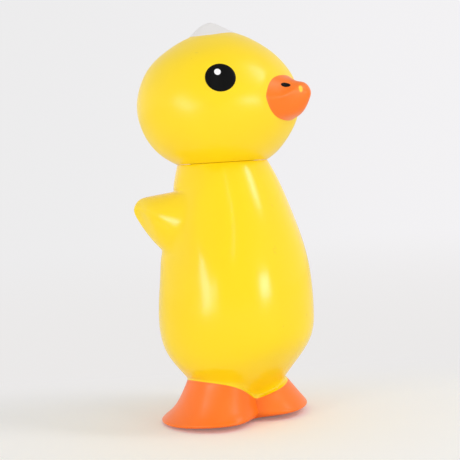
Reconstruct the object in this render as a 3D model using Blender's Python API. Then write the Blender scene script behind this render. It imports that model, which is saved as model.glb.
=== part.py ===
"""A hollow soft-vinyl chick figurine in two castings: a body with its wings and feet, and a head
with its beak and tuft. The head's plug snaps through the hole in the body's neck deck, where it
turns by hand.

Units are metres. +Z is up, the floor is at z = 0, the neck's axis is the Z axis and the body faces
-Y. Each skin is a cage of quads with a Subdivision Surface that passes through the cage's stations.
"""

import math

import bmesh
import bpy
from mathutils import Matrix, Vector

MM = 0.001

# Casting
WALL = 2.0 * MM
SPOKES = 12
SKIN_LEVELS = 2
CORE_LEVELS = 1
FIT_ROUNDS = 6

# Neck joint
SEAM_HEIGHT = 130.6 * MM
SEAM_GAP = 0.3 * MM
SEAM_RADIUS = 22.9 * MM
NECK_HOLE_RADIUS = 16.5 * MM
PLUG_CLEARANCE = 0.4 * MM
PLUG_LIP = 2.2 * MM
PLUG_LIP_HEIGHT = 2.2 * MM
PLUG_LEAD_IN = 1.6 * MM
ROUND_SIDES = 48
HEAD_TURN = math.radians(29)

# Head above the seam: a squashed ball, wider than it is tall
HEAD_RADIUS = 40.8 * MM
HEAD_HALF_HEIGHT = 35.0 * MM
HEAD_CENTRE = 28.8 * MM
HEAD_BACK = 0.5 * MM
HEAD_SECTION_HEIGHTS = (5.0, 14.4, 29.6, 44.8, 54.4)
CROWN_HEIGHT = 61.0 * MM
CROWN_RADIUS = 17.6 * MM

# Tuft on the crown, whose foot is an oval from side to side and whose peak leans back
TUFT_FOOT_HEIGHTS = (63.6, 63.4, 62.5, 62.4, 62.9, 63.6, 63.9, 63.6, 62.9, 62.4, 62.5, 63.4)
TUFT_FOOT_RADII = (12.0, 12.3, 14.2, 14.3, 13.3, 12.2, 11.5, 12.2, 13.3, 14.3, 14.2, 12.3)
TUFT_SHOULDER_HEIGHT = 67.6 * MM
TUFT_SHOULDER_RADIUS = 6.4 * MM
TUFT_PEAK_HEIGHT = 69.8 * MM
TUFT_PEAK_RADIUS = 1.9 * MM
TUFT_LEAN = 2.0 * MM

# Beak: a margin round it and its foot, both on the head's skin, as rows of sideways and height above
# the seam, then its rings, as rows of sideways, forwards and height, all from below to above
BEAK_ROWS = (2, 3, 4)
BEAK_MARGIN = (
    ((-15.4, 15.6), (0.0, 13.0), (15.4, 15.6)),
    ((-22.6, 29.6), (0.0, 29.6), (22.6, 29.6)),
    ((-15.0, 43.6), (0.0, 46.4), (15.0, 43.6)),
)
BEAK_CREASE = 0.7
BEAK_FOOT = (
    ((-12.4, 21.2), (0.0, 18.2), (12.4, 21.2)),
    ((-17.5, 29.6), (0.0, 29.6), (17.5, 29.6)),
    ((-12.0, 37.8), (0.0, 40.2), (12.0, 37.8)),
)
BEAK_MIDDLE = (
    ((-7.2, 43.8, 23.4), (0.0, 46.0, 22.0), (7.2, 43.8, 23.4)),
    ((-11.4, 43.2, 30.0), (0.0, 45.0, 30.0), (11.4, 43.2, 30.0)),
    ((-6.4, 42.9, 35.2), (0.0, 44.3, 36.9), (6.4, 42.9, 35.2)),
)
BEAK_TIP = (
    ((-3.8, 48.8, 28.4), (0.0, 50.1, 27.4), (3.8, 48.8, 28.4)),
    ((-5.2, 48.2, 32.8), (0.0, 51.4, 31.4), (5.2, 48.2, 32.8)),
    ((-3.2, 47.4, 35.2), (0.0, 48.2, 35.7), (3.2, 47.4, 35.2)),
)
MOUTH_CORNERS = (3, 5)
MOUTH_CREASE = 0.5

# Round sections of the body: height, radius and how far their centre lies forwards
BODY_SECTIONS = (
    (36.0, 35.8, 3.2),
    (50.0, 39.3, 4.6),
    (66.0, 38.8, 5.3),
    (83.0, 36.7, 5.0),
    (102.0, 32.5, 3.6),
    (120.0, 26.8, 1.8),
)

# Ankle and feet, at twelve spokes from the front round by the left. The soles' front edges spring
# up from the floor, and the paint's edge is a faint fold
WAIST_HEIGHTS = (17.0, 19.4, 21.6, 23.4, 24.8, 25.6, 26.2, 26.2, 26.2, 27.2, 28.0, 25.0)
WAIST_RADII = (20.4, 24.8, 27.0, 27.8, 27.2, 26.6, 26.2, 26.5, 27.3, 29.8, 31.8, 29.0)
PAINT_HEIGHTS = (12.0, 15.2, 17.2, 18.6, 19.4, 19.8, 20.0, 20.0, 20.5, 22.8, 23.6, 20.4)
PAINT_RADII = (18.6, 24.8, 26.7, 26.4, 25.2, 24.4, 24.0, 24.0, 24.6, 26.5, 28.4, 26.6)
SLOPE_HEIGHTS = (8.2, 8.6, 9.0, 9.0, 8.5, 8.0, 8.0, 7.6, 7.4, 8.0, 8.6, 8.4)
SLOPE_RADII = (19.0, 28.2, 32.8, 33.2, 32.0, 29.6, 26.5, 29.6, 32.0, 33.4, 33.4, 28.2)
EDGE_HEIGHTS = (4.2, 5.2, 5.0, 4.4, 3.6, 3.3, 3.2, 3.2, 3.2, 3.4, 4.2, 4.7)
EDGE_RADII = (19.6, 30.8, 35.6, 38.0, 38.0, 33.5, 28.5, 33.5, 38.6, 38.6, 36.0, 30.8)
TOE_SPRING = (1.8, 2.8, 2.6, 1.8, 1.0, 0.6, 0.5, 0.4, 0.4, 0.8, 2.0, 2.5)
SOLE_INSET = 2.2
FLAT_RADII = (9.0, 15.0, 19.0, 24.0, 29.0, 27.0, 22.5, 27.0, 30.5, 29.0, 23.0, 17.0)
CLEFT_CREASE = 1.0
FOLD_CREASE = 0.5

# Wings, swept back: a margin round them and their foot, both on the body's skin, as rows of along
# the body and height, then their rings, as rows of along, how far beyond the head's radius and
# height, all from below to above
WING_AZIMUTH = math.radians(118)
WING_SPOKE = 3
WING_ROWS = (9, 10, 11)
WING_MARGIN = (
    ((-35.0, 83.0), (-15.0, 82.5), (5.0, 83.0)),
    ((-30.6, 102.0), (-12.0, 102.5), (8.5, 102.0)),
    ((-24.2, 120.0), (-11.0, 120.0), (5.5, 119.8)),
)
WING_CREASE = 0.2
WING_FOOT = (
    ((-20.0, 91.4), (-8.0, 88.4), (0.5, 91.4)),
    ((-24.5, 103.6), (-12.0, 103.0), (2.5, 103.4)),
    ((-19.0, 114.8), (-9.0, 117.5), (0.5, 114.8)),
)
WING_MIDDLE = (
    ((-13.0, -4.6, 97.4), (-3.6, -2.4, 94.4), (4.0, -3.4, 97.8)),
    ((-16.5, -5.0, 106.2), (-4.0, -1.8, 106.4), (5.4, -3.4, 106.4)),
    ((-12.4, -4.6, 113.0), (-3.6, -3.0, 115.8), (3.6, -3.6, 113.4)),
)
WING_TIP = (
    ((-5.4, 1.8, 106.0), (-1.4, 3.8, 104.4), (2.0, 2.6, 106.2)),
    ((-7.2, 1.6, 110.2), (-1.8, 5.2, 110.3), (2.8, 2.8, 110.4)),
    ((-5.0, 1.2, 113.2), (-1.4, 2.4, 114.1), (1.9, 2.0, 113.2)),
)

FINISHES = {
    "yellow_vinyl": ((1.0, 0.72, 0.03, 1.0), 0.25),
    "orange_paint": ((1.0, 0.22, 0.04, 1.0), 0.32),
    "white_paint": ((0.78, 0.76, 0.76, 1.0), 0.5),
}
YELLOW, ORANGE, WHITE = range(3)


def add_finishes(obj):
    """Gives an object a material for the bare vinyl and one for each paint."""
    for name, (colour, roughness) in FINISHES.items():
        material = bpy.data.materials.new(f"{obj.name}_{name}")
        material.use_nodes = True
        shader = material.node_tree.nodes["Principled BSDF"]
        shader.inputs["Base Color"].default_value = colour
        shader.inputs["Roughness"].default_value = roughness
        shader.inputs["Metallic"].default_value = 0.0
        obj.data.materials.append(material)


def spoke_ring(heights, radii, forwards=0.0):
    """Twelve corners round the neck's axis, from the front round by the left."""
    corners = []
    for index, (height, radius) in enumerate(zip(heights, radii)):
        angle = math.tau * index / SPOKES
        corners.append(Vector((radius * math.sin(angle), -radius * math.cos(angle) - forwards, height)))
    return corners


def oval_ring(heights, radii):
    """A section round the feet, the ankle or the tuft, from sizes in millimetres."""
    return spoke_ring([height * MM for height in heights], [radius * MM for radius in radii])


def round_ring(height, radius, forwards=0.0):
    """A level round section."""
    return spoke_ring([height] * SPOKES, [radius] * SPOKES, forwards)


def body_section(height):
    """Radius of the body and how far forwards its centre lies, at a height between two sections."""
    for (low, *start), (high, *end) in zip(BODY_SECTIONS, BODY_SECTIONS[1:]):
        if low * MM <= height <= high * MM:
            part = (height / MM - low) / (high - low)
            return [(a + (b - a) * part) * MM for a, b in zip(start, end)]
    raise ValueError(height)


def head_section(height):
    """Radius of the squashed ball and how far forwards its centre lies, at a height above the seam."""
    radius = HEAD_RADIUS * math.sqrt(1 - ((height - HEAD_CENTRE) / HEAD_HALF_HEIGHT) ** 2)
    return radius, -HEAD_BACK


def loft(rings):
    """A closed cage through level rings, listed upwards. Returns it with its corners by ring."""
    cage = bmesh.new()
    rows = [[cage.verts.new(corner) for corner in ring] for ring in rings]
    for low, high in zip(rows, rows[1:]):
        for index in range(SPOKES):
            after = (index + 1) % SPOKES
            cage.faces.new((low[index], low[after], high[after], high[index]))
    cage.faces.new(rows[0][::-1])
    cage.faces.new(rows[-1])
    return cage, rows


def crease(cage, corners, amount=1.0):
    """Sharpens the edges that join these corners."""
    layer = cage.edges.layers.float.get("crease_edge")
    if layer is None:
        layer = cage.edges.layers.float.new("crease_edge")
    chosen = set(corners)
    for edge in cage.edges:
        if chosen.issuperset(edge.verts):
            edge[layer] = amount


def grow(cage, patch, rings, sharpness, paint=YELLOW):
    """Extrudes a patch of three by three corners through a limb's foot and its further rings.

    Returns the limb's corners by ring.
    """
    inside = set(patch)
    faces = [face for face in cage.faces if inside.issuperset(face.verts)]
    grown_rings = []
    for ring in rings:
        starts = [corner.co.to_tuple(7) for corner in patch]
        grown = bmesh.ops.extrude_face_region(cage, geom=faces)["geom"]
        bmesh.ops.delete(cage, geom=[face for face in faces if face.is_valid], context="FACES_ONLY")
        faces = [item for item in grown if isinstance(item, bmesh.types.BMFace)]
        fresh = {item.co.to_tuple(7): item for item in grown if isinstance(item, bmesh.types.BMVert)}
        patch = [fresh[start] for start in starts]
        for corner, place in zip(patch, ring):
            corner.co = place
        painted = {face for corner in patch for face in corner.link_faces}
        if ring is rings[0]:
            crease(cage, {corner for corner in patch if corner is not patch[4]}, sharpness)
            painted = faces
        for face in painted:
            face.material_index = paint
        grown_rings.append(patch)
    return grown_rings


def limb_foot(rows, section, azimuth=0.0):
    """Corners on a round section's skin, from rows of along and height round an azimuth."""
    turn = Matrix.Rotation(azimuth, 3, "Z")
    corners = []
    for along, height in (spot for row in rows for spot in row):
        radius, forwards = section(height * MM)
        aside = along * MM + forwards * math.sin(azimuth)
        outwards = forwards * math.cos(azimuth) + math.sqrt(radius**2 - aside**2)
        corners.append(turn @ Vector((along * MM, -outwards, height * MM)))
    return corners


def limb_ring(rows, azimuth=0.0, reach=0.0):
    """Corners of a limb's ring, from rows of along, outwards beyond a reach and height."""
    turn = Matrix.Rotation(azimuth, 3, "Z")
    spots = [spot for row in rows for spot in row]
    return [
        turn @ Vector((along * MM, -outwards * MM - reach, height * MM)) for along, outwards, height in spots
    ]


def mirrored(rows):
    """The same limb on the other side, with each row still running the same way round."""
    return [[(-spot[0], *spot[1:]) for spot in row[::-1]] for row in rows]


def passed_through(obj):
    """Moves the cage until its smooth surface passes through the places where its corners stood."""
    stations = [corner.co.copy() for corner in obj.data.vertices]
    for _ in range(FIT_ROUNDS):
        graph = bpy.context.evaluated_depsgraph_get()
        smooth = obj.evaluated_get(graph).to_mesh()
        shifts = [station - smooth.vertices[index].co for index, station in enumerate(stations)]
        for corner, shift in zip(obj.data.vertices, shifts):
            corner.co += shift
        obj.data.update()


def smooth_object(name, cage, levels):
    """An object of this cage with a Subdivision Surface, fitted to the cage's stations."""
    mesh = bpy.data.meshes.new(name)
    cage.to_mesh(mesh)
    mesh.shade_smooth()
    obj = bpy.data.objects.new(name, mesh)
    bpy.context.scene.collection.objects.link(obj)
    surface = obj.modifiers.new("surface", "SUBSURF")
    surface.levels = levels
    surface.render_levels = levels
    passed_through(obj)
    return obj


def cutter(obj):
    """Marks an object as a guide that only shapes another."""
    obj.hide_render = True
    obj.display_type = "WIRE"
    return obj


def core_of(name, cage):
    """The hollow inside a skin, one wall further in."""
    cage.normal_update()
    inner = [corner.co - corner.normal * WALL * corner.calc_shell_factor() for corner in cage.verts]
    for corner, place in zip(cage.verts, inner):
        corner.co = place
    return cutter(smooth_object(name, cage, CORE_LEVELS))


def turned(name, profile):
    """A solid turned about Z from a profile of radius and height that starts and ends on the axis."""
    solid = bmesh.new()
    corners = [solid.verts.new((radius, 0.0, height)) for radius, height in profile]
    edges = [solid.edges.new(pair) for pair in zip(corners, corners[1:])]
    bmesh.ops.spin(
        solid, geom=corners + edges, cent=(0, 0, 0), axis=(0, 0, 1), angle=math.tau, steps=ROUND_SIDES
    )
    bmesh.ops.remove_doubles(solid, verts=solid.verts, dist=1e-6)
    bmesh.ops.recalc_face_normals(solid, faces=solid.faces)
    mesh = bpy.data.meshes.new(name)
    solid.to_mesh(mesh)
    solid.free()
    obj = bpy.data.objects.new(name, mesh)
    bpy.context.scene.collection.objects.link(obj)
    return cutter(obj)


def combine(obj, other, operation):
    """Joins another shape to an object, or cuts it away."""
    step = obj.modifiers.new(other.name, "BOOLEAN")
    step.object = other
    step.operation = operation
    step.solver = "EXACT"


def build_body():
    """The body, with its wings and feet, its hollow and the hole in its neck deck."""
    deck_height = SEAM_HEIGHT - SEAM_GAP / 2
    rings = [
        oval_ring([0.0] * SPOKES, FLAT_RADII),
        oval_ring(TOE_SPRING, [radius - SOLE_INSET for radius in EDGE_RADII]),
        oval_ring(EDGE_HEIGHTS, EDGE_RADII),
        oval_ring(SLOPE_HEIGHTS, SLOPE_RADII),
        oval_ring(PAINT_HEIGHTS, PAINT_RADII),
        oval_ring(WAIST_HEIGHTS, WAIST_RADII),
    ]
    rings += [round_ring(height * MM, radius * MM, shift * MM) for height, radius, shift in BODY_SECTIONS]
    rings.append(round_ring(deck_height, SEAM_RADIUS))
    cage, rows = loft(rings)
    crease(cage, rows[0])
    crease(cage, rows[-1])
    crease(cage, [row[0] for row in rows[1:5]], CLEFT_CREASE)
    crease(cage, rows[4], FOLD_CREASE)
    painted = {corner for row in rows[:5] for corner in row}
    for face in cage.faces:
        if painted.issuperset(face.verts):
            face.material_index = ORANGE
    for side, flip in ((1, list), (-1, mirrored)):
        spokes = [(side * WING_SPOKE + step) % SPOKES for step in (-1, 0, 1)]
        patch = [rows[row][spoke] for row in WING_ROWS for spoke in spokes]
        azimuth = side * WING_AZIMUTH
        for corner, place in zip(patch, limb_foot(flip(WING_MARGIN), body_section, azimuth)):
            corner.co = place
        wing = [limb_foot(flip(WING_FOOT), body_section, azimuth)]
        wing += [limb_ring(flip(ring), azimuth, HEAD_RADIUS) for ring in (WING_MIDDLE, WING_TIP)]
        grow(cage, patch, wing, WING_CREASE)
    body = smooth_object("body", cage, SKIN_LEVELS)
    add_finishes(body)
    combine(body, core_of("body_core", cage), "DIFFERENCE")
    cage.free()
    hole = turned(
        "neck_hole",
        (
            (0.0, deck_height - 2.5 * WALL),
            (NECK_HOLE_RADIUS, deck_height - 2.5 * WALL),
            (NECK_HOLE_RADIUS, deck_height + WALL),
            (0.0, deck_height + WALL),
        ),
    )
    combine(body, hole, "DIFFERENCE")
    return body


def build_head():
    """The head, with its beak, tuft and neck plug, turned on the neck's axis."""
    base_height = SEAM_GAP / 2
    rings = [round_ring(base_height, SEAM_RADIUS)]
    rings += [round_ring(height * MM, *head_section(height * MM)) for height in HEAD_SECTION_HEIGHTS]
    rings += [
        round_ring(CROWN_HEIGHT, CROWN_RADIUS),
        oval_ring(TUFT_FOOT_HEIGHTS, TUFT_FOOT_RADII),
        round_ring(TUFT_SHOULDER_HEIGHT, TUFT_SHOULDER_RADIUS, -TUFT_LEAN),
        round_ring(TUFT_PEAK_HEIGHT, TUFT_PEAK_RADIUS, -TUFT_LEAN),
    ]
    cage, rows = loft(rings)
    crease(cage, rows[0])
    tuft = {corner for row in rows[-3:] for corner in row}
    for face in cage.faces:
        if tuft.issuperset(face.verts):
            face.material_index = WHITE
    patch = [rows[row][step] for row in BEAK_ROWS for step in (-1, 0, 1)]
    for corner, place in zip(patch, limb_foot(BEAK_MARGIN, head_section)):
        corner.co = place
    beak = [limb_foot(BEAK_FOOT, head_section), limb_ring(BEAK_MIDDLE), limb_ring(BEAK_TIP)]
    beak_rows = grow(cage, patch, beak, BEAK_CREASE, ORANGE)
    for corner in MOUTH_CORNERS:
        crease(cage, [row[corner] for row in beak_rows], MOUTH_CREASE)
    head = smooth_object("head", cage, SKIN_LEVELS)
    add_finishes(head)

    stem = NECK_HOLE_RADIUS - PLUG_CLEARANCE
    lip = stem + PLUG_LIP
    lip_top = -(SEAM_GAP / 2 + WALL + SEAM_GAP)
    lip_bottom = lip_top - PLUG_LIP_HEIGHT
    plug_end = lip_bottom - PLUG_LEAD_IN
    plug = turned(
        "neck_plug",
        (
            (0.0, plug_end),
            (lip - PLUG_LEAD_IN, plug_end),
            (lip, lip_bottom),
            (lip, lip_top),
            (stem, lip_top),
            (stem, base_height + WALL / 2),
            (0.0, base_height + WALL / 2),
        ),
    )
    bore = turned(
        "plug_bore",
        (
            (0.0, plug_end - WALL),
            (stem - WALL, plug_end - WALL),
            (stem - WALL, base_height + 2 * WALL),
            (0.0, base_height + 2 * WALL),
        ),
    )
    core = core_of("head_core", cage)
    cage.free()
    combine(head, plug, "UNION")
    combine(head, core, "DIFFERENCE")
    combine(head, bore, "DIFFERENCE")

    swivel = bpy.data.objects.new("neck_swivel", None)
    swivel.location = (0.0, 0.0, SEAM_HEIGHT)
    swivel.rotation_euler = (0.0, 0.0, HEAD_TURN)
    bpy.context.scene.collection.objects.link(swivel)
    for obj in (head, plug, core, bore):
        obj.parent = swivel
    return head


def main():
    """Builds both castings in an empty scene."""
    for obj in list(bpy.data.objects):
        bpy.data.objects.remove(obj)
    build_body()
    build_head()


if __name__ == "__main__":
    main()
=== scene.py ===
"""Looks of the hollow vinyl chick figurine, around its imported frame.

The body, with its wings and feet, and the head, with its beak, tuft and neck plug, are raised ring
by ring from a round blank and smoothed, so that each skin passes through the stations listed here.
Eyes, their glints and the nostrils are films of paint that follow the head.
Units are metres. +Z is up, the floor is at z = 0 and the body faces -Y.
"""

import logging  # noqa: E402
import math  # noqa: E402
from dataclasses import dataclass  # noqa: E402
from enum import Enum  # noqa: E402
from typing import Any, Callable, Sequence  # noqa: E402

import bmesh  # noqa: E402
import bpy  # noqa: E402
from mathutils import Matrix, Vector  # noqa: E402


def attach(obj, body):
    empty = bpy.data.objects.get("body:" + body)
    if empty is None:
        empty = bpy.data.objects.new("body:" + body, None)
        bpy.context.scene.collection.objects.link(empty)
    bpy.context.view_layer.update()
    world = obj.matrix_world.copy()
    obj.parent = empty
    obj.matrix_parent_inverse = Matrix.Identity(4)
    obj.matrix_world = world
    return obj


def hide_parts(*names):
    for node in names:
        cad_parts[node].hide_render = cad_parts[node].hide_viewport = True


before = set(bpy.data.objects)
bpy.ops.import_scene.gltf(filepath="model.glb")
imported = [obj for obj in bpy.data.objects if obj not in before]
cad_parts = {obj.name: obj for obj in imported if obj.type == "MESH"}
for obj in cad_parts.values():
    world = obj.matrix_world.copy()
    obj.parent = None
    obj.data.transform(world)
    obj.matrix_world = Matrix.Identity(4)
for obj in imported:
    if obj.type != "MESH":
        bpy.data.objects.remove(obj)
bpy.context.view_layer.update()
LOG = logging.getLogger("figurine")

MM = 0.001
SPOKES = 12
PATCH_SIDE = 3
PATCH_MIDDLE = 4
MOUTH_CORNERS = (3, 5)
SEAM_HEIGHT = 130.6
SEAM_GAP = 0.12
SEAM_RADIUS = 22.9
WALL = 2.0
HEAD_TURN = math.radians(29)
SMOOTH_ANGLE = math.radians(40)

Colour = tuple[float, float, float]
Spot = tuple[float, ...]
Rows = Sequence[Sequence[Spot]]
Section = Callable[[float], tuple[float, float]]


class Side(Enum):
    """Which side of the figurine a limb or an eye is on."""

    LEFT = 1
    RIGHT = -1


class Coat(Enum):
    """What covers an area of a casting, as the index of its material slot."""

    BARE = 0
    PAINT = 1
    TIP = 2


# Finishes


class Recipe:
    """A material's nodes, added one at a time."""

    def __init__(self, name: str) -> None:
        """Starts a material with a Principled shader.

        Args:
            name: The finish's name.
        """
        self.material = bpy.data.materials.new(name)
        self.material.use_nodes = True
        self.tree = self.material.node_tree
        self.shader = self.tree.nodes["Principled BSDF"]
        self.places = self.add("ShaderNodeTexCoord").outputs["Object"]

    @classmethod
    def on(cls, tree: bpy.types.NodeTree, places: str) -> "Recipe":
        """Works on the nodes of something that isn't a material.

        Args:
            tree: The nodes.
            places: Which coordinates the recipe's places are.

        Returns:
            The recipe.
        """
        recipe = cls.__new__(cls)
        recipe.tree = tree
        recipe.places = recipe.add("ShaderNodeTexCoord").outputs[places]
        return recipe

    def add(self, kind: str, inputs: dict[Any, Any] | None = None, **settings: Any) -> bpy.types.Node:
        """Adds a node.

        Args:
            kind: The node's type.
            inputs: Values or sockets for its inputs, by name or index.
            settings: The node's own settings.

        Returns:
            The node.
        """
        node = self.tree.nodes.new(kind)
        for name, value in settings.items():
            setattr(node, name, value)
        for key, value in (inputs or {}).items():
            self.feed(node, key, value)
        return node

    def feed(self, node: bpy.types.Node, key: Any, value: Any) -> None:
        """Sets one input of a node, or links it.

        Args:
            node: The node.
            key: The input's name or index.
            value: A number, a colour, or an output socket.
        """
        if isinstance(value, bpy.types.NodeSocket):
            self.tree.links.new(value, node.inputs[key])
        else:
            node.inputs[key].default_value = value

    def noise(self, scale: float, detail: float = 3.0, stretch: Spot = (1.0, 1.0, 1.0)) -> Any:
        """A noise over the object.

        Args:
            scale: How many grains fit in a metre.
            detail: How many finer layers it has.
            stretch: Scale of the noise along each axis.

        Returns:
            The noise's strength, from 0 to 1.
        """
        where = self.add("ShaderNodeMapping", {"Vector": self.places, "Scale": stretch}).outputs[0]
        inputs = {"Vector": where, "Scale": scale, "Detail": detail}
        return self.add("ShaderNodeTexNoise", inputs).outputs[0]

    def between(self, value: Any, low: float, high: float, start: float = 0.0, end: float = 1.0) -> Any:
        """Spreads a value smoothly over a range.

        Args:
            value: The value's socket.
            low: The value that gives the start.
            high: The value that gives the end.
            start: The result at low.
            end: The result at high.

        Returns:
            The result's socket.
        """
        sockets = {0: value, 1: low, 2: high, 3: start, 4: end}
        return self.add("ShaderNodeMapRange", sockets, interpolation_type="SMOOTHSTEP").outputs[0]

    def mix(self, share: Any, first: Any, second: Any) -> Any:
        """Mixes two colours.

        Args:
            share: How much of the second shows.
            first: A colour or a colour's socket.
            second: A colour or a colour's socket.

        Returns:
            The mixed colour's socket.
        """
        colours = [(*c, 1.0) if isinstance(c, tuple) else c for c in (first, second)]
        inputs = {0: share, 6: colours[0], 7: colours[1]}
        return self.add("ShaderNodeMix", inputs, data_type="RGBA").outputs[2]

    def times(self, first: Any, second: Any) -> Any:
        """The product of two values."""
        return self.combine(first, "MULTIPLY", second)

    def combine(self, first: Any, operation: str, second: Any) -> Any:
        """Combines two values by a Math node's operation."""
        return self.add("ShaderNodeMath", {0: first, 1: second}, operation=operation).outputs[0]

    def length(self, vector: Any) -> Any:
        """The length of a vector's socket."""
        return self.add("ShaderNodeVectorMath", {0: vector}, operation="LENGTH").outputs["Value"]

    def along(self, axis: Vector) -> Any:
        """How far a place, or a direction, goes along an axis."""
        inputs = {0: self.places, 1: tuple(axis)}
        return self.add("ShaderNodeVectorMath", inputs, operation="DOT_PRODUCT").outputs["Value"]

    def near(self, mark: "Mark") -> Any:
        """A soft patch at a mark.

        Args:
            mark: The mark.

        Returns:
            A value that is 1 in the patch and 0 outside it.
        """
        offset = tuple(-along * MM * scale for along, scale in zip(mark.place, mark.stretch))
        inputs = {"Vector": self.places, "Location": offset, "Scale": mark.stretch}
        away = self.length(self.add("ShaderNodeMapping", inputs).outputs[0])
        return self.between(away, low=mark.radius * MM, high=mark.radius * mark.core * MM)

    def relief(self, height: Any, depth: float, strength: float = 1.0, under: Any = None) -> Any:
        """A bump on the surface.

        Args:
            height: The height's socket, from 0 to 1.
            depth: The height of a full step, in millimetres.
            strength: The share of the bump that shows.
            under: The normal of a bump below this one.

        Returns:
            The new normal's socket.
        """
        inputs = {"Height": height, "Distance": depth * MM, "Strength": strength}
        if under is not None:
            inputs["Normal"] = under
        return self.add("ShaderNodeBump", inputs).outputs[0]


@dataclass(frozen=True)
class Mark:
    """A small scuff or spot: its middle and radius in millimetres, in the figurine's frame at rest.

    The stretch scales the distance along each axis, and the core is the share of the radius that is
    fully covered.
    """

    place: Spot
    radius: float
    stretch: Spot = (1.0, 1.0, 1.0)
    core: float = 0.55


@dataclass(frozen=True)
class Vinyl:
    """Bare moulded vinyl: faintly mottled, a little wavy, with fine pores and a few scuffs.

    Colour and deep are the mottle's two shades. Smooth and worn are the roughness's range.
    """

    name: str
    colour: Colour
    deep: Colour
    scuff: Colour
    smooth: float
    worn: float
    gloss: float = 0.42
    tint: Spot = (1.0, 0.75, 1.0, 1.0)
    mottle_share: float = 0.45
    speck_share: float = 0.15
    scuff_share: float = 0.14
    marks: tuple[Mark, ...] = ()

    def material(self) -> bpy.types.Material:
        """Builds the material.

        Returns:
            The material.
        """
        recipe = Recipe(self.name)
        mottle = recipe.between(recipe.noise(scale=22.0, detail=4.0), low=0.42, high=0.78)
        colour = recipe.mix(recipe.times(mottle, self.mottle_share), self.colour, self.deep)
        dots = recipe.noise(scale=330.0, detail=2.0, stretch=(1.0, 1.0, 0.6))
        specks = recipe.between(dots, low=0.735, high=0.76)
        sparse = recipe.between(recipe.noise(scale=31.0, detail=1.0), low=0.52, high=0.62)
        worn = recipe.times(recipe.times(specks, sparse), self.speck_share)
        colour = recipe.mix(worn, colour, self.scuff)
        for mark in self.marks:
            patch = recipe.near(mark)
            grain = recipe.between(recipe.noise(scale=900.0, detail=2.0), low=0.42, high=0.58)
            share = recipe.times(recipe.times(patch, grain), self.scuff_share)
            colour = recipe.mix(share, colour, self.scuff)
        recipe.feed(recipe.shader, "Base Color", colour)
        recipe.feed(recipe.shader, "Specular IOR Level", self.gloss)
        recipe.feed(recipe.shader, "Specular Tint", self.tint)
        cloud = recipe.noise(scale=48.0, detail=5.0)
        dull = recipe.between(cloud, low=0.3, high=0.7, start=self.smooth, end=self.worn)
        recipe.feed(recipe.shader, "Roughness", dull)
        waves = recipe.relief(recipe.noise(scale=95.0, detail=2.0), depth=0.045)
        fine = recipe.noise(scale=1900.0, detail=2.0)
        pores = recipe.relief(fine, depth=0.008, strength=0.6, under=waves)
        recipe.feed(recipe.shader, "Normal", pores)
        return recipe.material


@dataclass(frozen=True)
class Paint:
    """Sprayed paint: a matt film, thinner in places, with small spots of a second colour.

    Smooth and worn are the roughness's range.
    """

    name: str
    colour: Colour
    thin: Colour
    smooth: float
    worn: float
    gloss: float = 0.42
    thin_share: float = 0.5
    yellow_spots: tuple[Mark, ...] = ()
    # The colour of the small spots.
    under: Colour = (1.0, 0.62, 0.03)

    def material(self) -> bpy.types.Material:
        """Builds the material.

        Returns:
            The material.
        """
        recipe = Recipe(self.name)
        cloud = recipe.between(recipe.noise(scale=38.0, detail=5.0), low=0.4, high=0.72)
        colour = recipe.mix(recipe.times(cloud, self.thin_share), self.colour, self.thin)
        # Small spots of the second colour, such as the yellow spot near the beak's tip.
        for yellow_spot in self.yellow_spots:
            colour = recipe.mix(recipe.near(yellow_spot), colour, self.under)
        recipe.feed(recipe.shader, "Base Color", colour)
        recipe.feed(recipe.shader, "Specular IOR Level", self.gloss)
        rubbed = recipe.noise(scale=70.0, detail=4.0)
        dull = recipe.between(rubbed, low=0.3, high=0.7, start=self.smooth, end=self.worn)
        recipe.feed(recipe.shader, "Roughness", dull)
        waves = recipe.relief(recipe.noise(scale=140.0, detail=2.0), depth=0.04)
        fine = recipe.noise(scale=2600.0, detail=2.0)
        spray = recipe.relief(fine, depth=0.01, strength=0.7, under=waves)
        recipe.feed(recipe.shader, "Normal", spray)
        return recipe.material


# Shaping


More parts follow.
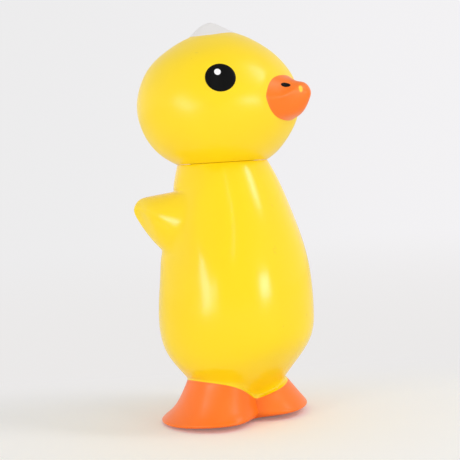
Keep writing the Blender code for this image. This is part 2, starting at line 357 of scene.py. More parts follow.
class Shaper:
    """Edit-mode work on one mesh, whose corners are chosen by their place in millimetres."""

    TINY = 1e-6

    def __init__(self, name: str, ring: Sequence[Vector]) -> None:
        """Starts from a round blank and moves its corners onto the first ring.

        Args:
            name: The new object's name.
            ring: The first ring's corners, all at the same level.
        """
        bpy.ops.object.select_all(action="DESELECT")
        radius = sum(corner.xy.length for corner in ring) / len(ring) * MM
        bpy.ops.mesh.primitive_circle_add(
            vertices=len(ring), radius=radius, fill_type="NGON", location=(0, 0, ring[0].z * MM)
        )
        self.obj = bpy.context.object
        self.obj.name = name
        bpy.ops.object.transform_apply(location=True, rotation=True, scale=True)
        bpy.ops.object.mode_set(mode="EDIT")
        blank = sorted(self._bmesh().verts, key=lambda c: math.atan2(c.co.x, -c.co.y) % math.tau)
        front_is_last = blank[-1].co.x > -self.TINY
        blank = [blank[-1], *blank[:-1]] if front_is_last else blank
        self._move([corner.index for corner in blank], ring)

    def _bmesh(self) -> bmesh.types.BMesh:
        """The mesh under work, with its indices in order."""
        mesh = bmesh.from_edit_mesh(self.obj.data)
        mesh.verts.ensure_lookup_table()
        mesh.verts.index_update()
        return mesh

    def _pick(self, corners: set[int], faces: bool = True) -> None:
        """Selects corners, and the edges and faces between them.

        Args:
            corners: The corners' indices.
            faces: Whether faces between them are selected too.
        """
        bpy.ops.mesh.select_mode(type="VERT")
        bpy.ops.mesh.select_all(action="DESELECT")
        mesh = self._bmesh()
        for corner in mesh.verts:
            corner.select_set(corner.index in corners)
        mesh.select_flush_mode()
        if not faces:
            for face in mesh.faces:
                face.select_set(False)
            for edge in mesh.edges:
                edge.select_set(all(end.index in corners for end in edge.verts))
        bmesh.update_edit_mesh(self.obj.data)

    def _move(self, corners: Sequence[int], places: Sequence[Vector]) -> None:
        """Moves corners one by one to their places, and leaves them all selected.

        Args:
            corners: The corners' indices.
            places: Where they go.
        """
        for index, place in zip(corners, places):
            self._pick({index})
            step = place * MM - self._bmesh().verts[index].co
            bpy.ops.transform.translate(value=step)
        self._pick(set(corners))

    def _find(self, places: Sequence[Vector], among: set[int] | None = None) -> list[int]:
        """The corners that stand at these places.

        Args:
            places: The places.
            among: The indices to look among, or all of them.

        Returns:
            One index for each place.
        """
        corners = [corner for corner in self._bmesh().verts if among is None or corner.index in among]
        return [min(corners, key=lambda c: (c.co - place * MM).length_squared).index for place in places]

    def choose(self, places: Sequence[Vector]) -> None:
        """Selects the faces between the corners at these places."""
        self._pick(set(self._find(places)))

    def extrude(self, start: Sequence[Vector], rings: Sequence[Sequence[Vector]]) -> None:
        """Extrudes the chosen faces through rings of places.

        Args:
            start: The places of the chosen faces' corners.
            rings: The places that they take, ring by ring.
        """
        self.choose(start)
        for ring in rings:
            bpy.ops.mesh.extrude_region()
            fresh = {corner.index for corner in self._bmesh().verts if corner.select}
            self._move(self._find(start, fresh), ring)
            start = ring

    def crease(self, places: Sequence[Vector], amount: float) -> None:
        """Sharpens the edges between the corners at these places.

        Args:
            places: The corners' places.
            amount: How sharp, from 0 to 1.
        """
        self._pick(set(self._find(places)), faces=False)
        bpy.ops.transform.edge_crease(value=amount)

    def paint(self, places: Sequence[Vector], coat: Coat) -> None:
        """Gives the faces between the corners at these places a coat.

        Args:
            places: The corners' places.
            coat: The coat.
        """
        self.choose(places)
        self.obj.active_material_index = coat.value
        bpy.ops.object.material_slot_assign()

    def open(self, places: Sequence[Vector]) -> None:
        """Takes away the face between the corners at these places."""
        self.choose(places)
        bpy.ops.mesh.delete(type="ONLY_FACE")

    def close(self) -> bpy.types.Object:
        """Ends the edit, with doubles merged and faces outwards.

        Returns:
            The object.
        """
        bpy.ops.mesh.select_all(action="SELECT")
        bpy.ops.mesh.remove_doubles(threshold=self.TINY)
        bpy.ops.mesh.normals_make_consistent(inside=False)
        bpy.ops.object.mode_set(mode="OBJECT")
        bpy.ops.object.shade_smooth()
        return self.obj


@dataclass
class Skin:
    """Smooths a cage so that its surface passes through the stations where its corners stand.

    It also rounds the rim at the neck seam, whose edges are found by level and radius. Sizes are in
    millimetres.
    """

    levels: int = 3
    rounds: int = 6
    rim: float = 0.3
    rim_segments: int = 3
    rim_level_within: float = 0.02
    rim_radius_within: float = 0.3

    def smooth(self, obj: bpy.types.Object, seam: float) -> None:
        """Adds and applies the smooth surface and then the wall, and rounds the rim at the seam.

        Args:
            obj: The cage.
            seam: The height of the casting's rim at the neck seam.
        """
        bpy.ops.object.modifier_add(type="SUBSURF")
        surface = obj.modifiers[-1]
        surface.levels = surface.render_levels = self.levels
        stations = [corner.co.copy() for corner in obj.data.vertices]
        for _ in range(self.rounds):
            shown = obj.evaluated_get(bpy.context.evaluated_depsgraph_get()).to_mesh()
            steps = [station - shown.vertices[index].co for index, station in enumerate(stations)]
            for corner, step in zip(obj.data.vertices, steps):
                corner.co += step
            obj.data.update()
        bpy.ops.object.modifier_apply(modifier=surface.name)
        bpy.ops.object.modifier_add(type="SOLIDIFY")
        wall = obj.modifiers[-1]
        wall.thickness = WALL * MM
        wall.offset = -1.0
        wall.use_quality_normals = True
        bpy.ops.object.modifier_apply(modifier=wall.name)
        self._round_rim(obj, seam)
        bpy.ops.object.shade_smooth_by_angle(angle=SMOOTH_ANGLE)

    def _on_rim(self, end: bmesh.types.BMVert, seam: float) -> bool:
        """Whether a corner stands on the rim at that height."""
        off_level = abs(end.co.z - seam * MM)
        off_radius = abs(end.co.xy.length / MM - SEAM_RADIUS)
        return off_level < self.rim_level_within * MM and off_radius < self.rim_radius_within

    def _round_rim(self, obj: bpy.types.Object, seam: float) -> None:
        """Rounds the sharp rim at the neck seam.

        Args:
            obj: The casting.
            seam: The rim's height.
        """
        bpy.ops.object.mode_set(mode="EDIT")
        bpy.ops.mesh.select_mode(type="EDGE")
        bpy.ops.mesh.select_all(action="DESELECT")
        mesh = bmesh.from_edit_mesh(obj.data)
        for edge in mesh.edges:
            edge.select_set(all(self._on_rim(end, seam) for end in edge.verts))
        bmesh.update_edit_mesh(obj.data)
        bpy.ops.mesh.bevel(offset=self.rim * MM, segments=self.rim_segments, affect="EDGES")
        bpy.ops.object.mode_set(mode="OBJECT")


def ring_at(heights: Sequence[float], radii: Sequence[float], forwards: float = 0.0) -> list[Vector]:
    """A section round the neck's axis, from the front round by the left.

    Args:
        heights: The corners' heights.
        radii: The corners' distances from the axis.
        forwards: How far forwards the section lies.

    Returns:
        The section's corners.
    """
    corners = []
    for index, (height, radius) in enumerate(zip(heights, radii)):
        angle = math.tau * index / SPOKES
        corners.append(Vector((radius * math.sin(angle), -radius * math.cos(angle) - forwards, height)))
    return corners


def level_ring(height: float, radius: float, forwards: float = 0.0) -> list[Vector]:
    """A level round section of that height, radius and shift forwards."""
    return ring_at([height] * SPOKES, [radius] * SPOKES, forwards)


def limb_ring(rows: Rows, azimuth: float, side: Side) -> list[Vector]:
    """The corners of a limb's ring.

    Args:
        rows: Rows of along, outwards and height, from below to above.
        azimuth: Where the limb points, from the front round by the left.
        side: The side that the limb is on.

    Returns:
        The corners.
    """
    turn = Matrix.Rotation(azimuth * side.value, 3, "Z")
    return [
        turn @ Vector((along * side.value, -outwards, height))
        for row in rows
        for along, outwards, height in row[:: side.value]
    ]


def limb_foot(rows: Rows, azimuth: float, side: Side, section: Section) -> list[Vector]:
    """The corners of a limb's foot, which lie on a round section's skin.

    Args:
        rows: Rows of along and height, from below to above.
        azimuth: Where the limb points, from the front round by the left.
        side: The side that the limb is on.
        section: Gives the skin's radius and shift forwards at a height.

    Returns:
        The corners.
    """
    foot = []
    for row in rows:
        spots = []
        for along, height in row:
            radius, forwards = section(height)
            aside = along + forwards * math.sin(azimuth)
            outwards = forwards * math.cos(azimuth) + math.sqrt(radius**2 - aside**2)
            spots.append((along, outwards, height))
        foot.append(spots)
    return limb_ring(foot, azimuth, side)


def foot_border(foot: Sequence[Vector]) -> list[Vector]:
    """The corners round a limb's foot, without its middle one."""
    return [corner for index, corner in enumerate(foot) if index != PATCH_MIDDLE]


# Castings


@dataclass
class Body:
    """The body's casting, with its wings, feet and neck deck.

    Sizes are in millimetres. A section is a height, a radius and a shift forwards. Rows of twelve
    numbers go round from the front by the left.
    """

    sections: tuple[Spot, ...] = (
        (36.0, 35.8, 3.2),
        (50.0, 39.3, 4.6),
        (66.0, 38.8, 5.3),
        (83.0, 36.7, 5.0),
        (102.0, 32.5, 3.6),
        (120.0, 26.8, 1.8),
    )
    waist_heights: Spot = (17.0, 19.4, 21.6, 23.4, 24.8, 25.6, 26.2, 26.2, 26.2, 27.2, 28.0, 25.0)
    waist_radii: Spot = (20.4, 24.8, 27.0, 27.8, 27.2, 26.6, 26.2, 26.5, 27.3, 29.8, 31.8, 29.0)
    paint_heights: Spot = (12.0, 15.2, 17.2, 18.6, 19.4, 19.8, 20.0, 20.0, 20.5, 22.8, 23.6, 20.4)
    paint_radii: Spot = (18.6, 24.8, 26.7, 26.4, 25.2, 24.4, 24.0, 24.0, 24.6, 26.5, 28.4, 26.6)
    slope_heights: Spot = (8.2, 8.6, 9.0, 9.0, 8.5, 8.0, 8.0, 7.6, 7.4, 8.0, 8.6, 8.4)
    slope_radii: Spot = (19.0, 28.2, 32.8, 33.2, 32.0, 29.6, 26.5, 29.6, 32.0, 33.4, 33.4, 28.2)
    edge_radii: Spot = (19.6, 30.8, 35.6, 38.0, 38.0, 33.5, 28.5, 33.5, 38.6, 38.6, 36.0, 30.8)
    edge_heights: Spot = (4.0, 4.9, 4.7, 4.0, 3.2, 2.8, 2.6, 2.2, 1.9, 2.5, 3.9, 4.5)
    toe_spring: Spot = (1.8, 2.8, 2.6, 1.8, 1.0, 0.6, 0.5, 0.4, 0.4, 0.8, 2.0, 2.5)
    sole_inset: float = 2.2
    flat_radii: Spot = (9.0, 15.0, 19.0, 24.0, 29.0, 27.0, 22.5, 27.0, 30.5, 29.0, 23.0, 17.0)
    painted_rings: int = 5
    cleft: float = 1.0
    fold: float = 0.5
    neck_hole: float = 16.5
    wing_azimuth: float = math.radians(118)
    wing_rows: tuple[int, ...] = (9, 10, 11)
    wing_spoke: int = 3
    wing_margin: Rows = (
        ((-35.0, 83.0), (-15.0, 82.5), (5.0, 83.0)),
        ((-30.6, 102.0), (-12.0, 102.5), (8.5, 102.0)),
        ((-24.2, 120.0), (-11.0, 120.0), (5.5, 119.8)),
    )
    wing_crease: float = 0.2
    wing_foot: Rows = (
        ((-20.0, 91.4), (-8.0, 88.4), (0.5, 91.4)),
        ((-24.5, 103.6), (-12.0, 103.0), (2.5, 103.4)),
        ((-19.0, 114.8), (-9.0, 117.5), (0.5, 114.8)),
    )
    wing_middle: Rows = (
        ((-13.0, 36.2, 97.4), (-3.6, 38.4, 94.4), (4.0, 37.4, 97.8)),
        ((-16.5, 35.8, 106.2), (-4.0, 39.0, 106.4), (5.4, 37.4, 106.4)),
        ((-12.4, 36.2, 113.0), (-3.6, 37.8, 115.8), (3.6, 37.2, 113.4)),
    )
    wing_tip: Rows = (
        ((-5.4, 42.6, 106.0), (-1.4, 44.6, 104.4), (2.0, 43.4, 106.2)),
        ((-7.2, 42.4, 110.2), (-1.8, 46.0, 110.3), (2.8, 43.6, 110.4)),
        ((-5.0, 42.0, 113.2), (-1.4, 43.2, 114.1), (1.9, 42.8, 113.2)),
    )
    vinyl: Vinyl = Vinyl(
        name="body_yellow_vinyl",
        colour=(1.0, 0.715, 0.006),
        deep=(1.0, 0.675, 0.003),
        scuff=(0.5, 0.33, 0.04),
        smooth=0.16,
        worn=0.22,
        marks=(
            Mark((2.1, -40.5, 87.4), 1.6, (1.0, 1.0, 0.5)),
            Mark((19.5, -39.0, 53.6), 1.3),
        ),
    )
    paint: Paint = Paint(
        name="foot_orange_paint",
        colour=(1.0, 0.185, 0.006),
        thin=(1.0, 0.225, 0.02),
        smooth=0.3,
        worn=0.42,
    )

    def section(self, height: float) -> tuple[float, float]:
        """The skin's radius and shift forwards, at a height between two sections.

        Args:
            height: The height.

        Returns:
            The radius and the shift.
        """
        for (low, *start), (high, *end) in zip(self.sections, self.sections[1:]):
            if low <= height <= high:
                part = (height - low) / (high - low)
                return tuple(a + (b - a) * part for a, b in zip(start, end))
        raise ValueError(height)

    def rings(self) -> list[list[Vector]]:
        """The body's sections, from the sole's flat to the neck deck's hole.

        Returns:
            The corners, ring by ring.
        """
        deck = SEAM_HEIGHT - SEAM_GAP / 2
        rings = [
            ring_at([0.0] * SPOKES, self.flat_radii),
            ring_at(self.toe_spring, [radius - self.sole_inset for radius in self.edge_radii]),
            ring_at(self.edge_heights, self.edge_radii),
            ring_at(self.slope_heights, self.slope_radii),
            ring_at(self.paint_heights, self.paint_radii),
            ring_at(self.waist_heights, self.waist_radii),
        ]
        rings += [level_ring(*section) for section in self.sections]
        rings += [level_ring(deck, SEAM_RADIUS), level_ring(deck, self.neck_hole)]
        return rings

    def build(self) -> bpy.types.Object:
        """Raises the casting and dresses it.

        Returns:
            The casting.
        """
        rings = self.rings()
        shaper = Shaper("body_casting", rings[0])
        for finish in (self.vinyl, self.paint):
            shaper.obj.data.materials.append(finish.material())
        turn = self.wing_azimuth
        margins = {side: limb_foot(self.wing_margin, turn, side, self.section) for side in Side}
        for side, margin in margins.items():
            for corner, place in enumerate(margin):
                row, column = divmod(corner, PATCH_SIDE)
                spoke = self.wing_spoke * side.value + column - 1
                rings[self.wing_rows[row]][spoke % SPOKES] = place
        shaper.extrude(rings[0], rings[1:])
        for side, margin in margins.items():
            foot = limb_foot(self.wing_foot, turn, side, self.section)
            outer = [limb_ring(ring, turn, side) for ring in (self.wing_middle, self.wing_tip)]
            shaper.extrude(margin, [foot, *outer])
            shaper.crease(foot_border(foot), self.wing_crease)
        for ring in (rings[0], rings[-2], rings[-1]):
            shaper.crease(ring, 1.0)
        painted = rings[: self.painted_rings]
        shaper.crease([ring[0] for ring in painted[1:]], self.cleft)
        shaper.crease(painted[-1], self.fold)
        shaper.paint([corner for ring in painted for corner in ring], Coat.PAINT)
        shaper.open(rings[-1])
        casting = shaper.close()
        Skin().smooth(casting, SEAM_HEIGHT - SEAM_GAP / 2)
        return casting


@dataclass
class Head:
    """The head's casting, with its beak, tuft and neck plug.

    Sizes are in millimetres and heights are above the seam. Rows of twelve numbers go round from the
    front by the left.
    """

    radius: float = 40.8
    half_height: float = 35.0
    centre: float = 28.8
    back: float = 0.5
    section_heights: Spot = (5.0, 14.4, 29.6, 44.8, 54.4)
    crown: Spot = (61.0, 17.6)
    tuft_foot_heights: Spot = (63.6, 63.4, 62.5, 62.4, 62.9, 63.6, 63.9, 63.6, 62.9, 62.4, 62.5, 63.4)
    tuft_foot_radii: Spot = (12.0, 12.3, 14.2, 14.3, 13.3, 12.2, 11.5, 12.2, 13.3, 14.3, 14.2, 12.3)
    tuft: tuple[Spot, ...] = ((67.6, 6.4, -2.0), (69.8, 1.9, -2.0))
    capped_rings: int = 3
    plug: tuple[Spot, ...] = (
        (SEAM_GAP / 2, 16.1),
        (-2.45, 16.1),
        (-2.45, 18.3),
        (-4.65, 18.3),
        (-6.25, 16.7),
    )
    beak_rows: tuple[int, ...] = (2, 3, 4)
    beak_margin: Rows = (
        ((-15.4, 15.6), (0.0, 13.0), (15.4, 15.6)),
        ((-22.6, 29.6), (0.0, 29.6), (22.6, 29.6)),
        ((-15.0, 43.6), (0.0, 46.4), (15.0, 43.6)),
    )
    beak_crease: float = 0.7
    beak_foot: Rows = (
        ((-12.4, 21.2), (0.0, 18.2), (12.4, 21.2)),
        ((-17.5, 29.6), (0.0, 29.6), (17.5, 29.6)),
        ((-12.0, 37.8), (0.0, 40.2), (12.0, 37.8)),
    )
    beak_middle: Rows = (
        ((-7.2, 43.8, 23.4), (0.0, 46.0, 22.0), (7.2, 43.8, 23.4)),
        ((-11.4, 43.2, 30.0), (0.0, 45.0, 30.0), (11.4, 43.2, 30.0)),
        ((-6.4, 42.9, 35.2), (0.0, 44.3, 36.9), (6.4, 42.9, 35.2)),
    )
    beak_tip: Rows = (
        ((-3.8, 48.8, 28.4), (0.0, 50.0, 27.4), (3.8, 48.8, 28.4)),
        ((-5.2, 48.1, 32.8), (0.0, 51.2, 31.4), (5.2, 48.1, 32.8)),
        ((-3.2, 47.4, 35.2), (0.0, 48.2, 35.7), (3.2, 47.4, 35.2)),
    )
    mouth_crease: float = 0.5
    vinyl: Vinyl = Vinyl(
        name="head_yellow_vinyl",
        colour=(1.0, 0.715, 0.006),
        deep=(1.0, 0.675, 0.003),
        scuff=(0.5, 0.33, 0.04),
        smooth=0.28,
        worn=0.37,
        gloss=0.45,
        marks=(Mark((-22.6, -20.1, 183.0), 1.3),),
    )
    paint: Paint = Paint(
        name="beak_orange_paint",
        colour=(1.0, 0.19, 0.005),
        thin=(1.0, 0.24, 0.016),
        smooth=0.3,
        worn=0.42,
        # A small yellow spot on the orange beak, near its tip.
        yellow_spots=(Mark((19.4, -44.7, 163.4), 1.3, (1.0, 1.0, 0.55)),),
    )
    cap: Paint = Paint(
        name="tuft_white_paint",
        colour=(0.84, 0.82, 0.81),
        thin=(0.87, 0.84, 0.81),
        smooth=0.5,
        worn=0.6,
    )

    def section(self, height: float) -> tuple[float, float]:
        """The squashed ball's radius and shift forwards at a height.

        Args:
            height: The height above the seam.

        Returns:
            The radius and the shift.
        """
        share = (height - self.centre) / self.half_height
        return self.radius * math.sqrt(1 - share**2), -self.back

    def build(self) -> bpy.types.Object:
        """Raises the casting, dresses it and turns it on the neck's axis.

        Returns:
            The casting.
        """
        base = SEAM_GAP / 2
        rings = [level_ring(base, SEAM_RADIUS)]
        rings += [level_ring(height, *self.section(height)) for height in self.section_heights]
        rings += [level_ring(*self.crown), ring_at(self.tuft_foot_heights, self.tuft_foot_radii)]
        rings += [level_ring(*section) for section in self.tuft]
        shaper = Shaper("head_casting", rings[0])
        for finish in (self.vinyl, self.paint, self.cap):
            shaper.obj.data.materials.append(finish.material())
        margin = limb_foot(self.beak_margin, 0.0, Side.LEFT, self.section)
        for corner, place in enumerate(margin):
            row, column = divmod(corner, PATCH_SIDE)
            rings[self.beak_rows[row]][column - 1] = place
        shaper.extrude(rings[0], rings[1:])
        foot = limb_foot(self.beak_foot, 0.0, Side.LEFT, self.section)
        outer = [limb_ring(ring, 0.0, Side.LEFT) for ring in (self.beak_middle, self.beak_tip)]
        shaper.extrude(margin, [foot, *outer])
        plug = [level_ring(*section) for section in self.plug]
        shaper.extrude(rings[0], plug)
        shaper.crease(foot_border(foot), self.beak_crease)
        for corner in MOUTH_CORNERS:
            shaper.crease([ring[corner] for ring in (foot, *outer)], self.mouth_crease)
        for ring in (rings[0], *plug):
            shaper.crease(ring, 1.0)
        shaper.paint([corner for ring in (foot, *outer) for corner in ring], Coat.PAINT)
        shaper.paint([corner for ring in rings[-self.capped_rings :] for corner in ring], Coat.TIP)
        shaper.open(plug[-1])
        casting = shaper.close()
        Skin().smooth(casting, SEAM_GAP / 2)
        casting.rotation_euler.z = HEAD_TURN
        casting.location.z = SEAM_HEIGHT * MM
        bpy.ops.object.transform_apply(location=True, rotation=True, scale=True)
        return casting


@dataclass
class PaintFilm:
    """A thin oval film of paint that follows a casting. Sizes are in millimetres."""

    name: str
    finish: Paint
    place: Spot
    width: float
    height: float
    tilt: float = 0.0
    lift: float = 0.1
    thickness: float = 0.25
    start_above: float = 3.0
    edge_width: float = 0.07
    edge_segments: int = 2
    edge_angle: float = math.radians(50)
    corners: int = 48
    inner_rings: int = 5
    middle_share: float = 0.6

    def build(self, casting: bpy.types.Object) -> bpy.types.Object:
        """Lays the film on a casting.

        Args:
            casting: What it lies on.

        Returns:
            The film.
        """
        turn = Matrix.Rotation(HEAD_TURN, 4, "Z")
        spot = Matrix.Translation((0, 0, SEAM_HEIGHT * MM)) @ turn @ (Vector(self.place) * MM)
        found, where, normal, _ = casting.closest_point_on_mesh(spot)
        bpy.ops.object.select_all(action="DESELECT")
        bpy.ops.mesh.primitive_circle_add(
            vertices=self.corners, radius=self.width / 2 * MM, fill_type="NGON", location=(0, 0, 0)
        )
        film = bpy.context.object
        film.name = self.name
        bpy.ops.object.mode_set(mode="EDIT")
        bpy.ops.transform.resize(value=(1.0, self.height / self.width, 1.0))
        step = min(self.width, self.height) / 2 * MM / (self.inner_rings + self.middle_share)
        for _ in range(self.inner_rings):
            bpy.ops.mesh.inset(thickness=step, use_even_offset=True)
        bpy.ops.mesh.poke()
        bpy.ops.object.mode_set(mode="OBJECT")
        upright = normal.to_track_quat("Z", "Y").to_matrix().to_4x4()
        above = Matrix.Translation(where + normal * self.start_above * MM)
        film.matrix_world = above @ upright @ Matrix.Rotation(self.tilt, 4, "Z")
        wrap = film.modifiers.new("follow", "SHRINKWRAP")
        wrap.target = casting
        wrap.wrap_method = "PROJECT"
        wrap.use_project_z = True
        wrap.use_negative_direction = True
        wrap.wrap_mode = "ABOVE_SURFACE"
        wrap.offset = self.lift * MM
        bpy.ops.object.modifier_apply(modifier=wrap.name)
        bpy.ops.object.transform_apply(location=True, rotation=True, scale=True)
        thick = film.modifiers.new("film", "SOLIDIFY")
        thick.thickness = self.thickness * MM
        thick.offset = -1.0
        bpy.ops.object.modifier_apply(modifier=thick.name)
        edge = film.modifiers.new("edge", "BEVEL")
        edge.width = self.edge_width * MM
        edge.segments = self.edge_segments
        edge.limit_method = "ANGLE"
        edge.angle_limit = self.edge_angle
        bpy.ops.object.modifier_apply(modifier=edge.name)
        bpy.ops.object.shade_smooth_by_angle(angle=SMOOTH_ANGLE)
        film.data.materials.append(self.finish.material())
        return film


@dataclass
class Face:
    """The printed eyes with their glints, and the nostrils. Places are in the head's own frame."""

    eye: Spot = (32.0, -20.6, 39.6)
    eye_width: float = 14.5
    eye_height: float = 14.3
    glint: Spot = (31.9, -19.1, 42.1)
    glint_width: float = 3.1
    glint_height: float = 3.255
    glint_lift: float = 0.17
    nostril: Spot = (8.0, -42.4, 35.1)
    nostril_size: tuple[float, float] = (4.8, 2.7)
    nostril_tilt: float = math.radians(8)
    small_corners: int = 32
    black: Paint = Paint(
        name="eye_black_paint",
        colour=(0.003, 0.003, 0.0028),
        thin=(0.005, 0.0048, 0.0045),
        smooth=0.25,
        worn=0.34,
        gloss=0.1,
    )
    white: Paint = Paint(
        name="glint_white_paint",
        colour=(0.95, 0.94, 0.94),
        thin=(0.86, 0.84, 0.83),
        smooth=0.3,
        worn=0.4,
    )

    def films(self, side: Side) -> list[PaintFilm]:
        """The films on one side of the head.

        Args:
            side: The side.

        Returns:
            The films.
        """
        name = side.name.lower()

        def mirrored(place: Spot) -> Spot:
            """The place on that side."""
            return (place[0] * side.value, *place[1:])

        return [
            PaintFilm(f"eye_{name}", self.black, mirrored(self.eye), self.eye_width, self.eye_height),
            PaintFilm(
                f"glint_{name}",
                self.white,
                mirrored(self.glint),
                self.glint_width,
                self.glint_height,
                lift=self.glint_lift,
                corners=self.small_corners,
                inner_rings=3,
            ),
            PaintFilm(
                f"nostril_{name}",
                self.black,
                mirrored(self.nostril),
                *self.nostril_size,
                tilt=side.value * self.nostril_tilt,
                corners=self.small_corners,
                inner_rings=2,
            ),
        ]

    def build(self, head: bpy.types.Object) -> list[bpy.types.Object]:
        """Paints both sides of the head.

        Args:
            head: The head's casting.

        Returns:
            The films.
        """
        return [film.build(head) for side in Side for film in self.films(side)]


# Studio


@dataclass(frozen=True)
class Lamp:
    """A soft lamp as the figurine sees it.

    Azimuth is from the camera's direction to its right. Azimuth, elevation, width, height and tilt
    are in degrees, and the distance is in metres.
    """

    name: str
    azimuth: float
    elevation: float
    width: float
    height: float
    radiance: float
    tilt: float = 0.0
    distance: float = 1.1


@dataclass
class Studio:
    """A plain pale floor and backdrop, soft lamps and the camera.

    The floor's fades are given as distances from the figurine, in metres. The glows are the strengths
    of the surroundings' light from each side.
    """

    camera_azimuth: float = math.radians(-31)
    camera_distance: float = 0.5
    camera_height: float = 0.1309
    camera_pitch: float = math.radians(4.0)
    camera_roll: float = math.radians(3.58)
    camera_shift: float = 3.6
    focal_pixels: float = 983.0
    image_pixels: float = 460.0
    sensor: float = 36.0
    # Painted light and shade on the backdrop: lighter to the right, and darker low down near the
    # figurine.
    backdrop_left: Colour = (0.845, 0.84, 0.845)
    backdrop_right: Colour = (0.895, 0.885, 0.9)
    backdrop_low_shade: Colour = (0.83, 0.815, 0.81)
    backdrop_spread: float = 0.25
    floor: Colour = (0.93, 0.92, 0.91)
    floor_fibre: Colour = (0.91605, 0.9062, 0.89635)
    fibre_share: float = 0.3
    floor_seen: Colour = (1.0, 1.0, 1.0)
    floor_size: float = 12.0
    low_fade: tuple[float, float] = (0.05, 1.2)
    behind_fade: tuple[float, float] = (0.02, 0.11)
    round_fade: tuple[float, float] = (0.25, 0.8)
    front_share: float = 0.1
    lamp_centre: Spot = (0.0, 0.0, 0.1)
    glow_front: float = 0.7
    glow_back: float = 1.1
    glow_left: float = 1.18
    glow_right: float = 1.2
    glow_above: float = 0.64
    lamps: tuple[Lamp, ...] = (
        Lamp("right_softbox", 43.0, 3.0, 14.0, 12.0, 10.5),
        Lamp("right_top_softbox", 70.0, 45.0, 9.0, 22.0, 8.5, tilt=-22.0),
        Lamp("left_softbox", -47.0, 4.0, 10.0, 28.0, 8.5, tilt=44.0),
        Lamp("left_low_softbox", -30.0, 0.0, 8.0, 9.0, 4.5),
        Lamp("front_strip", 4.0, 37.0, 1.4, 34.0, 5.0, tilt=-4.0),
    )

    def _axes(self) -> tuple[Vector, Vector]:
        """Level directions towards the camera and to its right."""
        sine, cosine = math.sin(self.camera_azimuth), math.cos(self.camera_azimuth)
        return Vector((sine, -cosine, 0)), Vector((cosine, sine, 0))

    def build_camera(self) -> None:
        """Places the camera where the photograph was taken from."""
        toward, right = self._axes()
        camera = bpy.data.objects.new("camera", bpy.data.cameras.new("camera"))
        bpy.context.scene.collection.objects.link(camera)
        shift = self.camera_shift / self.focal_pixels * self.camera_distance
        level = Vector((0, 0, 1))
        camera.location = toward * self.camera_distance + right * shift + level * self.camera_height
        look = -toward * math.cos(self.camera_pitch) - level * math.sin(self.camera_pitch)
        up = level * math.cos(self.camera_pitch) - toward * math.sin(self.camera_pitch)
        basis = Matrix((right, up, -look)).transposed()
        camera.rotation_euler = (basis @ Matrix.Rotation(-self.camera_roll, 3, "Z")).to_euler()
        camera.data.sensor_width = self.sensor
        camera.data.lens = self.focal_pixels / self.image_pixels * self.sensor
        bpy.context.scene.camera = camera

    def build_lamps(self) -> None:
        """Hangs the soft lamps round the figurine."""
        toward, right = self._axes()
        for lamp in self.lamps:
            azimuth, elevation = math.radians(lamp.azimuth), math.radians(lamp.elevation)
            level = toward * math.cos(azimuth) + right * math.sin(azimuth)
            away = level * math.cos(elevation) + Vector((0, 0, math.sin(elevation)))
            light = bpy.data.lights.new(lamp.name, "AREA")
            light.shape = "RECTANGLE"
            light.size = 2 * lamp.distance * math.tan(math.radians(lamp.width / 2))
            light.size_y = 2 * lamp.distance * math.tan(math.radians(lamp.height / 2))
            light.energy = lamp.radiance * math.pi * light.size * light.size_y
            obj = bpy.data.objects.new(lamp.name, light)
            obj.location = Vector(self.lamp_centre) + away * lamp.distance
            tilt = Matrix.Rotation(math.radians(lamp.tilt), 3, "Z").to_quaternion()
            obj.rotation_euler = (away.to_track_quat("Z", "Y") @ tilt).to_euler()
            bpy.context.scene.collection.objects.link(obj)

    def build_world(self) -> None:
        """Sets the pale surroundings, with their own shade for what the camera sees."""
        world = bpy.data.worlds.new("studio")
        bpy.context.scene.world = world
        world.use_nodes = True
        recipe = Recipe.on(world.node_tree, "Generated")
        toward, right = self._axes()
        glows = (
            (toward, self.glow_front),
            (-toward, self.glow_back),
            (right, self.glow_right),
            (-right, self.glow_left),
            (Vector((0, 0, 1)), self.glow_above),
        )
        total: Any = 0.0
        for axis, strength in glows:
            share = recipe.combine(recipe.along(axis), "MAXIMUM", 0.0)
            glow = recipe.times(recipe.times(share, share), strength)
            total = recipe.combine(glow, "ADD", total)
        lit = recipe.add("ShaderNodeBackground", {"Strength": total})
        seen = recipe.add("ShaderNodeBackground", {"Color": self._backdrop(recipe, recipe.along(right))})
        camera = recipe.add("ShaderNodeLightPath").outputs["Is Camera Ray"]
        mix = recipe.add("ShaderNodeMixShader", {0: camera, 1: lit.outputs[0], 2: seen.outputs[0]})
        recipe.tree.links.new(mix.outputs[0], recipe.tree.nodes["World Output"].inputs[0])

    def _backdrop(self, recipe: Recipe, bearing: Any) -> Any:
        """The backdrop's colour, with painted light: a little lighter to the right, where more light
        falls.

        Args:
            recipe: The nodes that it is added to.
            bearing: How far to the camera's right a place is, for each metre away from the camera.

        Returns:
            The colour's socket.
        """
        aside = recipe.between(bearing, low=-self.backdrop_spread, high=self.backdrop_spread)
        return recipe.mix(aside, self.backdrop_left, self.backdrop_right)

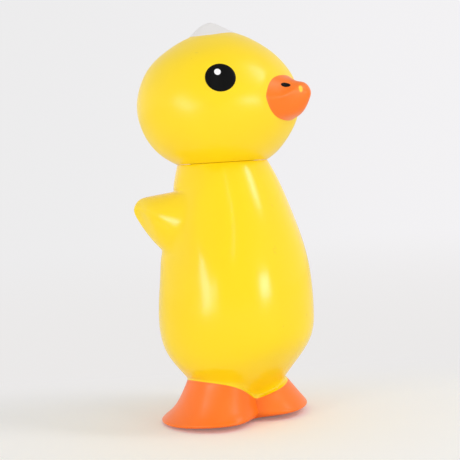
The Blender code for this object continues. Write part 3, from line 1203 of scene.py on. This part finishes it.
    def build_floor(self) -> None:
        """Lays the floor, which fades into the backdrop away from the figurine."""
        bpy.ops.object.select_all(action="DESELECT")
        bpy.ops.mesh.primitive_plane_add(size=self.floor_size, location=(0, 0, 0))
        floor = bpy.context.object
        floor.name = "floor"
        recipe = Recipe("floor_paper")
        seen = recipe.add("ShaderNodeLightPath").outputs["Is Camera Ray"]
        fibre = recipe.times(recipe.noise(scale=60.0, detail=5.0), self.fibre_share)
        colour = recipe.mix(fibre, self.floor, self.floor_fibre)
        colour = recipe.mix(seen, colour, self.floor_seen)
        recipe.feed(recipe.shader, "Base Color", colour)
        recipe.feed(recipe.shader, "Roughness", 0.9)
        recipe.feed(recipe.shader, "Specular IOR Level", 0.1)
        toward, right = self._axes()
        behind = recipe.along(-toward)
        reach = recipe.length(recipe.places)
        away = recipe.combine(reach, "ADD", self.camera_distance)
        backdrop = self._backdrop(recipe, recipe.combine(recipe.along(right), "DIVIDE", away))
        # Painted shade: near the figurine, low down, the backdrop's glow is darker.
        low = recipe.between(reach, *self.low_fade, start=1.0, end=0.0)
        backdrop = recipe.mix(low, backdrop, self.backdrop_low_shade)
        glow = recipe.add("ShaderNodeEmission", {"Color": backdrop, "Strength": 1.0})
        back = recipe.between(behind, *self.behind_fade, start=self.front_share, end=1.0)
        fade = recipe.combine(back, "MAXIMUM", recipe.between(reach, *self.round_fade))
        inputs = {0: recipe.times(fade, seen), 1: recipe.shader.outputs[0], 2: glow.outputs[0]}
        blend = recipe.add("ShaderNodeMixShader", inputs)
        recipe.tree.links.new(blend.outputs[0], recipe.tree.nodes["Material Output"].inputs[0])
        floor.data.materials.append(recipe.material)

    def build(self) -> None:
        """Sets up the floor, the surroundings, the lamps, the camera and the view."""
        self.build_floor()
        self.build_world()
        self.build_lamps()
        self.build_camera()
        bpy.context.scene.view_settings.view_transform = "Standard"


def report(piece: bpy.types.Object) -> None:
    """Logs a piece's name and size.

    Args:
        piece: The piece.
    """
    faces = len(piece.data.polygons)
    LOG.info("%s: %d faces, %.1f x %.1f x %.1f mm", piece.name, faces, *piece.dimensions / MM)


def main() -> None:
    """Builds and places every piece."""
    logging.basicConfig(level=logging.INFO, format="%(message)s")
    Studio().build()
    body = Body().build()
    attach(body, "body")
    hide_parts("body")
    report(body)
    head = Head().build()
    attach(head, "head")
    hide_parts("head")
    report(head)
    for film in Face().build(head):
        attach(film, "head")
        report(film)


if __name__ == "__main__":
    main()
